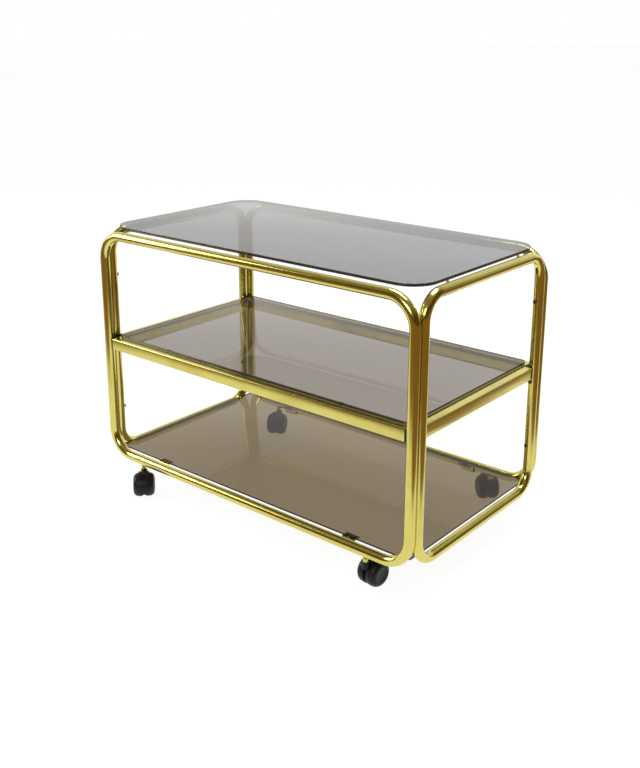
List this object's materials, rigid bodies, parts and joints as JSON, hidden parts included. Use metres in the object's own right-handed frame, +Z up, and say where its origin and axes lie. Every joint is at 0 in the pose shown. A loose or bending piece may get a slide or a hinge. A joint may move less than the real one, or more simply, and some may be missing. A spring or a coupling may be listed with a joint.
{
  "type": "serving trolley",
  "caption": "Three-tier serving trolley: bent brass tube hoops at the front, rear and sides, smoked glass top, shelf and base, twin-wheel casters.",
  "frame": {"origin": "on the floor, under the middle of the trolley", "axes": "+X along the length to the right, +Y from front to rear, +Z up"},
  "size_m": [0.8108, 0.5214, 0.5752],
  "materials": {
    "brass": "polished",
    "grey_glass": "smooth, grey smoked",
    "bronze_glass": "smooth, bronze smoked",
    "black_plastic": "satin",
    "black_wheel": "satin",
    "clear_rubber": "translucent",
    "dark_steel": "blackened",
    "bright_steel": "drawn"
  },
  "bodies": {
    "frame": {"front_hoop": "brass", "rear_hoop": "brass", "left_hoop": "brass", "right_hoop": "brass", "front_rail": "brass", "rear_rail": "brass", "left_rail": "brass", "right_rail": "brass", "front_rail_plug_left": "black_plastic", "front_rail_plug_right": "black_plastic", "rear_rail_plug_left": "black_plastic", "rear_rail_plug_right": "black_plastic", "left_rail_plug_front": "black_plastic", "left_rail_plug_rear": "black_plastic", "right_rail_plug_front": "black_plastic", "right_rail_plug_rear": "black_plastic", "top_glass": "grey_glass", "shelf_glass": "bronze_glass", "base_glass": "bronze_glass", "base_pad_front_left": "clear_rubber", "base_pad_front_right": "clear_rubber", "base_pad_rear_left": "clear_rubber", "base_pad_rear_right": "clear_rubber", "shelf_pad_front_left": "clear_rubber", "shelf_pad_front_right": "clear_rubber", "shelf_pad_rear_left": "clear_rubber", "shelf_pad_rear_right": "clear_rubber", "screw_front_left_lower": "dark_steel", "screw_front_left_middle": "dark_steel", "screw_front_left_upper": "dark_steel", "screw_front_right_lower": "dark_steel", "screw_front_right_middle": "dark_steel", "screw_front_right_upper": "dark_steel", "screw_rear_left_lower": "dark_steel", "screw_rear_left_middle": "dark_steel", "screw_rear_left_upper": "dark_steel", "screw_rear_right_lower": "dark_steel", "screw_rear_right_middle": "dark_steel", "screw_rear_right_upper": "dark_steel", "front_left_stem": "brass", "front_right_stem": "brass", "rear_left_stem": "brass", "rear_right_stem": "brass"},
    "front_left_caster": {"front_left_hood": "black_plastic", "front_left_axle": "bright_steel"},
    "front_left_wheel_left": {"front_left_wheel_left": "black_wheel"},
    "front_left_wheel_right": {"front_left_wheel_right": "black_wheel"},
    "front_right_caster": {"front_right_hood": "black_plastic", "front_right_axle": "bright_steel"},
    "front_right_wheel_left": {"front_right_wheel_left": "black_wheel"},
    "front_right_wheel_right": {"front_right_wheel_right": "black_wheel"},
    "rear_left_caster": {"rear_left_hood": "black_plastic", "rear_left_axle": "bright_steel"},
    "rear_left_wheel_left": {"rear_left_wheel_left": "black_wheel"},
    "rear_left_wheel_right": {"rear_left_wheel_right": "black_wheel"},
    "rear_right_caster": {"rear_right_hood": "black_plastic", "rear_right_axle": "bright_steel"},
    "rear_right_wheel_left": {"rear_right_wheel_left": "black_wheel"},
    "rear_right_wheel_right": {"rear_right_wheel_right": "black_wheel"}
  },
  "joints": [
    {"name": "front_left_swivel", "type": "hinge", "parent": "frame", "child": "front_left_caster", "pos_m": [-0.3, -0.218, 0.052], "axis": [0, 0, 1], "continuous": true},
    {"name": "front_left_wheel_left_spin", "type": "hinge", "parent": "front_left_caster", "child": "front_left_wheel_left", "pos_m": [-0.28561, -0.23189, 0.025], "axis": [-0.6947, -0.7193, 0], "continuous": true},
    {"name": "front_left_wheel_right_spin", "type": "hinge", "parent": "front_left_caster", "child": "front_left_wheel_right", "pos_m": [-0.28561, -0.23189, 0.025], "axis": [-0.6947, -0.7193, 0], "continuous": true},
    {"name": "front_right_swivel", "type": "hinge", "parent": "frame", "child": "front_right_caster", "pos_m": [0.3, -0.218, 0.052], "axis": [0, 0, 1], "continuous": true},
    {"name": "front_right_wheel_left_spin", "type": "hinge", "parent": "front_right_caster", "child": "front_right_wheel_left", "pos_m": [0.30209, -0.19811, 0.025], "axis": [0.9945, -0.1045, 0], "continuous": true},
    {"name": "front_right_wheel_right_spin", "type": "hinge", "parent": "front_right_caster", "child": "front_right_wheel_right", "pos_m": [0.30209, -0.19811, 0.025], "axis": [0.9945, -0.1045, 0], "continuous": true},
    {"name": "rear_left_swivel", "type": "hinge", "parent": "frame", "child": "rear_left_caster", "pos_m": [-0.3, 0.218, 0.052], "axis": [0, 0, 1], "continuous": true},
    {"name": "rear_left_wheel_left_spin", "type": "hinge", "parent": "rear_left_caster", "child": "rear_left_wheel_left", "pos_m": [-0.29061, 0.20034, 0.025], "axis": [-0.8829, -0.4695, 0], "continuous": true},
    {"name": "rear_left_wheel_right_spin", "type": "hinge", "parent": "rear_left_caster", "child": "rear_left_wheel_right", "pos_m": [-0.29061, 0.20034, 0.025], "axis": [-0.8829, -0.4695, 0], "continuous": true},
    {"name": "rear_right_swivel", "type": "hinge", "parent": "frame", "child": "rear_right_caster", "pos_m": [0.3, 0.218, 0.052], "axis": [0, 0, 1], "continuous": true},
    {"name": "rear_right_wheel_left_spin", "type": "hinge", "parent": "rear_right_caster", "child": "rear_right_wheel_left", "pos_m": [0.28561, 0.23189, 0.025], "axis": [0.6947, 0.7193, 0], "continuous": true},
    {"name": "rear_right_wheel_right_spin", "type": "hinge", "parent": "rear_right_caster", "child": "rear_right_wheel_right", "pos_m": [0.28561, 0.23189, 0.025], "axis": [0.6947, 0.7193, 0], "continuous": true}
  ]
}
